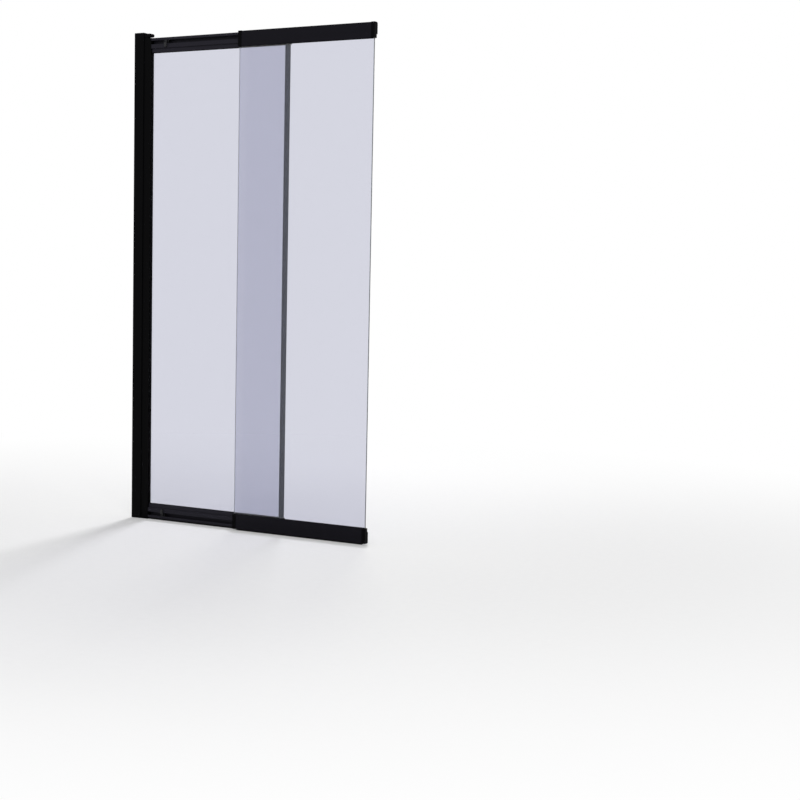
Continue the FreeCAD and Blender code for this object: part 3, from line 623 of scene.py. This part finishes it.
let_go()
bpy.ops.mesh.primitive_plane_add(size=1.0, location=(web_x, 0.0, foot_z))
bpy.context.object.scale = (strip_wall, 2 * pane_high.y, 1.0)
edge_strip = begin("edge_seal_strip")
for side in (1.0, -1.0):
    pick("EDGE", near((web_x, side * pane_high.y, foot_z)))
    pull((0.0, side * strip_wall, 0.0))
    pick("EDGE", near((pane_high.x, side * (pane_high.y + strip_wall / 2), foot_z)))
    for share, shift, taper in LEG_STEPS:
        pull((share * leg_reach, side * shift, 0.0), (1.0, taper, 1.0))
pick("EDGE", near((web_x, -pane_high.y - strip_wall, foot_z)))
for lean, share, taper in FIN_STEPS:
    pull((lean, share * fin_reach, 0.0), (taper, 1.0, 1.0))
pull_section((0.0, 0.0, seal_high.z - seal_low.z))
end(edge_strip, STRIP_ROUND)
settle(edge_strip, "fixed_panel", "black_rubber", edge_seal, "panel_seal")

# %% [markdown]
# ## Stop bumpers
#
# Two oval rubber buttons are screwed to the slotted rails near the side profile. The sliding panel's end
# runs against them when it is pushed in. Each starts as a round bar whose lower half is moved down to make
# an oval, its front rim is rolled over, and its face is raised a little. The well for the screw head and
# the key that sits in the rail's slot are a cut and a join with plain shapes. The second button is a
# mirrored copy of the first.

# %% Sizes of a bumper
CROWN = 0.0007
CROWN_INSET = 0.0005
CROWN_STEPS = ((0.7, 0.72, 0.86), (0.3, 0.6, 0.8))
RIM_ROLL = 0.0015
RIM_ROLL_STEPS = 6
SCREW_WELL = 0.0029
SCREW_WELL_FLOOR = 0.0036
SCREW_HOLE = 0.0016
KEY_LENGTH = 0.0045
KEY_HEIGHT = 0.0104
bumper_low, bumper_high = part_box("top_stop_bumper")
rail_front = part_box("fixed_top_rail")[0].y
bumper_wide = bumper_high.x - bumper_low.x
bumper_x = (bumper_low.x + bumper_high.x) / 2
screw_z = bumper_high.z - KEY_HEIGHT / 2
bumper_tall = screw_z + bumper_wide / 2 - bumper_low.z
print("bumper", round(1000 * bumper_wide, 1), "mm wide and", round(1000 * bumper_tall, 1), "mm tall")

# %% Body of the top bumper
ROUND_SIDES = 48
ALONG_Y = (math.pi / 2, 0.0, 0.0)
TOUCH = 0.00001
LEVEL_MARGIN = 0.0001


def bar(radius, start_y, end_y):
    """A round bar along Y in front of the top rail, on the bumper's screw."""
    let_go()
    bpy.ops.mesh.primitive_cylinder_add(
        vertices=ROUND_SIDES, radius=radius, depth=abs(end_y - start_y),
        location=(bumper_x, (start_y + end_y) / 2, screw_z), rotation=ALONG_Y,
    )
    return bpy.context.object


def at_depth(y):
    """A test that a middle lies at this depth."""
    return lambda middle: abs(middle.y - y) < TOUCH


body_front = bumper_low.y + CROWN
bar(bumper_wide / 2, rail_front, body_front)
top_bumper = begin("stop_bumper_top")
pick("VERT", lambda middle: middle.z < screw_z - LEVEL_MARGIN)
bpy.ops.transform.translate(value=(0.0, 0.0, bumper_wide - bumper_tall))
pick("EDGE", at_depth(body_front))
bpy.ops.mesh.bevel(offset=RIM_ROLL, segments=RIM_ROLL_STEPS, affect="EDGES")
pick("FACE", at_depth(body_front))
bpy.ops.mesh.inset(thickness=CROWN_INSET)
for share, narrow, shorten in CROWN_STEPS:
    pull((0.0, -share * CROWN, 0.0), (narrow, 1.0, shorten))
end(top_bumper)

# %% Screw well and key
OVERRUN = 0.001


def take(piece):
    """Make one piece the only selected and the active one."""
    let_go()
    piece.select_set(True)
    bpy.context.view_layer.objects.active = piece


def combine(piece, tool, operation):
    """Cut a piece with a tool, or join the tool to it, and put the tool away."""
    take(piece)
    joint = piece.modifiers.new("joint", "BOOLEAN")
    joint.operation = operation
    joint.object = tool
    bpy.ops.object.modifier_apply(modifier=joint.name)
    bpy.data.objects.remove(tool)


well = bar(SCREW_WELL, rail_front - SCREW_WELL_FLOOR, bumper_low.y - OVERRUN)
combine(top_bumper, well, "DIFFERENCE")
let_go()
key_y = (rail_front + bumper_high.y) / 2
bpy.ops.mesh.primitive_cube_add(size=1.0, location=(bumper_x, key_y, screw_z))
bpy.context.object.scale = (KEY_LENGTH, bumper_high.y - rail_front, KEY_HEIGHT)
bpy.ops.object.transform_apply(location=True, rotation=True, scale=True)
combine(top_bumper, bpy.context.object, "UNION")
hole = bar(SCREW_HOLE, bumper_high.y + OVERRUN, bumper_low.y - OVERRUN)
combine(top_bumper, hole, "DIFFERENCE")
print(top_bumper.name, len(top_bumper.data.polygons), "faces")

# %% Bottom bumper
def begin_copy(piece, name):
    """Go into edit mode on a copy of a finished piece, with its whole mesh selected."""
    take(piece)
    bpy.ops.object.duplicate()
    copy = begin(name)
    bpy.ops.mesh.select_all(action="SELECT")
    return copy


plate_low, plate_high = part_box("stop_plates")
bottom_bumper = begin_copy(top_bumper, "stop_bumper_bottom")
bpy.ops.transform.resize(value=(1.0, 1.0, -1.0), center_override=(plate_low + plate_high) / 2)
end(bottom_bumper)
for bumper, level in ((top_bumper, "top"), (bottom_bumper, "bottom")):
    settle(bumper, "fixed_panel", "grey_rubber", bumper_rubber, f"{level}_stop_bumper")

# %% [markdown]
# ## Covers of the adjusting screws
#
# On the back three screws lock the side profile in the wall channel, and each wears a snap-on cover. A
# cover is a shallow moulded cup with a domed top. A disc gives the rim, its outer face is pulled out in
# ever smaller steps that follow an arc, and its inner face is inset and pushed in to leave space for the
# screw head. One cover is modelled and two copies are moved up the channel.

# %% First screw cover
RIM_SHARE = 0.4
DOME_STEPS = 5
DOME_ARC = math.radians(81.0)
HEAD_CLEARANCE = 0.0001
covers_low, covers_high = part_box("adjusting_screw_covers")
screws_low, screws_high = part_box("adjusting_screws")
cover_radius = (covers_high.x - covers_low.x) / 2
cover_x = (covers_low.x + covers_high.x) / 2
lowest_z = covers_low.z + cover_radius
rim_top = covers_low.y + RIM_SHARE * (covers_high.y - covers_low.y)
dome_rise = covers_high.y - rim_top
head_space = (screws_high.x - screws_low.x) / 2 + HEAD_CLEARANCE

let_go()
bpy.ops.mesh.primitive_cylinder_add(
    vertices=ROUND_SIDES, radius=cover_radius, depth=rim_top - covers_low.y,
    location=(cover_x, (rim_top + covers_low.y) / 2, lowest_z), rotation=ALONG_Y,
)
first_cover = begin("screw_cover_low")
pick("FACE", at_depth(rim_top))
width, height = 1.0, 0.0
for step in range(1, DOME_STEPS + 1):
    slope = DOME_ARC * step / DOME_STEPS
    new_width, new_height = math.cos(slope), math.sin(slope)
    rise = dome_rise * (new_height - height) / math.sin(DOME_ARC)
    pull((0.0, rise, 0.0), (new_width / width, 1.0, new_width / width))
    width, height = new_width, new_height
pick("FACE", at_depth(covers_low.y))
bpy.ops.mesh.inset(thickness=cover_radius - head_space)
pull((0.0, screws_high.y - covers_low.y, 0.0))
end(first_cover)

# %% All three screw covers
covers = [first_cover]
middle_z = (covers_low.z + covers_high.z) / 2
highest_z = covers_high.z - cover_radius
for name, cover_z in (("screw_cover_middle", middle_z), ("screw_cover_high", highest_z)):
    cover = begin_copy(first_cover, name)
    bpy.ops.transform.translate(value=(0.0, 0.0, cover_z - lowest_z))
    covers.append(end(cover))
for cover in covers:
    settle(cover, "fixed_panel", "black_plastic", cap_plastic, "adjusting_screw_covers")

# %% [markdown]
# ## Seals under the bottom rails
#
# The fixed panel stands on a strip with two soft lips, and the same strip wipes along under the sliding
# panel, held a hair higher. A strip is an extrusion again. Its section starts as one top corner, which is
# pulled across to the other. From each corner a lip is pulled down in steps that lean outwards and get
# thinner.

# %% Seals under the rails
STRIP_BASE = 0.0012
LIP_ROOT = 0.0014
LIP_LEAN = 0.0005
LIP_STEPS = ((0.25, 0.92), (0.3, 0.85), (0.27, 0.8), (0.13, 0.7), (0.05, 0.5))
ACROSS_X = (0.0, math.pi / 2, 0.0)


def two_lipped_strip(name, node, body):
    """A strip along X in the box of the solid it stands for, with two lips that lean outwards."""
    low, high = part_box(node)
    middle = (low.y + high.y) / 2
    half = (high.y - low.y) / 2
    root = half - LIP_LEAN - LIP_ROOT / 2
    base_z = high.z - STRIP_BASE / 2
    let_go()
    corner = (low.x, middle - root, base_z)
    bpy.ops.mesh.primitive_plane_add(size=1.0, location=corner, rotation=ACROSS_X)
    bpy.context.object.scale = (STRIP_BASE, LIP_ROOT, 1.0)
    strip = begin(name)
    pick("EDGE", near((low.x, middle - root + LIP_ROOT / 2, base_z)))
    pull((0.0, 2 * root - LIP_ROOT, 0.0))
    pull((0.0, LIP_ROOT, 0.0))
    drop = high.z - STRIP_BASE - low.z
    for side in (1.0, -1.0):
        pick("EDGE", near((low.x, middle + side * root, high.z - STRIP_BASE)))
        for share, taper in LIP_STEPS:
            pull((0.0, side * share * LIP_LEAN, -share * drop), (1.0, taper, 1.0))
    pull_section((high.x - low.x, 0.0, 0.0))
    settle(end(strip), body, "black_rubber", seal_rubber, node)


two_lipped_strip("rim_strip", "rim_seal", "fixed_panel")
two_lipped_strip("wiper_strip", "wiper_seal", "sliding_panel")

# %% [markdown]
# ## Gaskets round the glass
#
# Each pane sits in its rails and in the side profile in a soft gasket of U section. What shows of it is a
# thin black lip along the glass, which closes on the pane so that no water runs in. The section starts as
# one corner of the U, is pulled across under the glass and up on both sides, and the last 0.6 mm of each
# side is pulled towards the glass and thinned. The same steps make all five, whichever way their opening
# looks.

# %% Gaskets
LIP_RISE = 0.0006
LIP_EDGE = 0.4
GASKETS = (
    ("side", "fixed_panel", (1.0, 0.0, 0.0)),
    ("fixed_top", "fixed_panel", (0.0, 0.0, -1.0)),
    ("fixed_bottom", "fixed_panel", (0.0, 0.0, 1.0)),
    ("sliding_top", "sliding_panel", (0.0, 0.0, -1.0)),
    ("sliding_bottom", "sliding_panel", (0.0, 0.0, 1.0)),
)
glass_thick = pane_high.y - pane_low.y


def glazing_gasket(place, body, mouth):
    """A U of rubber whose mouth looks one way, along the edge of a pane."""
    low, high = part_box(f"{place}_gasket")
    upright = mouth[0] != 0.0
    along = Vector((0.0, 0.0, high.z - low.z)) if upright else Vector((high.x - low.x, 0.0, 0.0))
    out = Vector(mouth)
    wall = (high.y - low.y - glass_thick) / 2
    depth = high.x - low.x if upright else high.z - low.z
    floor_point = Vector((low.x, low.y, high.z if mouth[2] < 0.0 else low.z))
    corner = floor_point + (wall / 2) * (out + Vector((0.0, 1.0, 0.0)))
    across = Vector((0.0, glass_thick + wall, 0.0))

    let_go()
    turn = (0.0, 0.0, 0.0) if upright else ACROSS_X
    bpy.ops.mesh.primitive_plane_add(size=wall, location=corner, rotation=turn)
    gasket = begin(f"{place}_glazing_gasket")
    pick("EDGE", near(corner + Vector((0.0, wall / 2, 0.0))))
    pull((0.0, glass_thick, 0.0))
    pull((0.0, wall, 0.0))
    for side, start in ((1.0, corner), (-1.0, corner + across)):
        pick("EDGE", near(start + (wall / 2) * out))
        pull((depth - wall - LIP_RISE) * out)
        towards_glass = Vector((0.0, side * wall * (1.0 - LIP_EDGE) / 2, 0.0))
        pull(LIP_RISE * out + towards_glass, (1.0, LIP_EDGE, 1.0))
    pull_section(along)
    settle(end(gasket), body, "black_rubber", seal_rubber, f"{place}_gasket")


for place, body, mouth in GASKETS:
    glazing_gasket(place, body, mouth)

# %% [markdown]
# ## Handing out the finishes
#
# Every solid says in the record which material it is made of. That gives most finishes. The solids that
# get a finish of their own, such as the two panes, are named. So are the uprights and the slotted rails,
# whose copies of the coat carry painted shade and painted light.

# %% Finishes to solids
BY_SLOT = {
    "black_aluminium": rail_coat,
    "black_plastic": cap_plastic,
    "black_rubber": seal_rubber,
    "grey_rubber": bumper_rubber,
    "roller_nylon": wheel_nylon,
    "carriage_plastic": carriage_plastic,
    "screw_steel": steel,
    "black_screw_steel": black_steel,
}
# The uprights get the coat with painted shade, and the slotted rails get the coat with painted light.
BY_NAME = {
    "wall_channel": shaded_upright_coat,
    "side_profile": shaded_upright_coat,
    "fixed_top_rail": lit_slotted_coat,
    "fixed_bottom_rail": lit_slotted_coat,
    "fixed_glass": fixed_glass_finish,
    "sliding_glass": sliding_glass_finish,
    "panel_seal": edge_seal,
}
slot_of = {row["node"]: row["material_slot"] for row in frame["record"]["subparts"]}
for name, solid in nodes.items():
    solid.data.materials.clear()
    solid.data.materials.append(BY_NAME.get(name) or BY_SLOT[slot_of[name]])
print("finishes on", len(nodes), "solids")
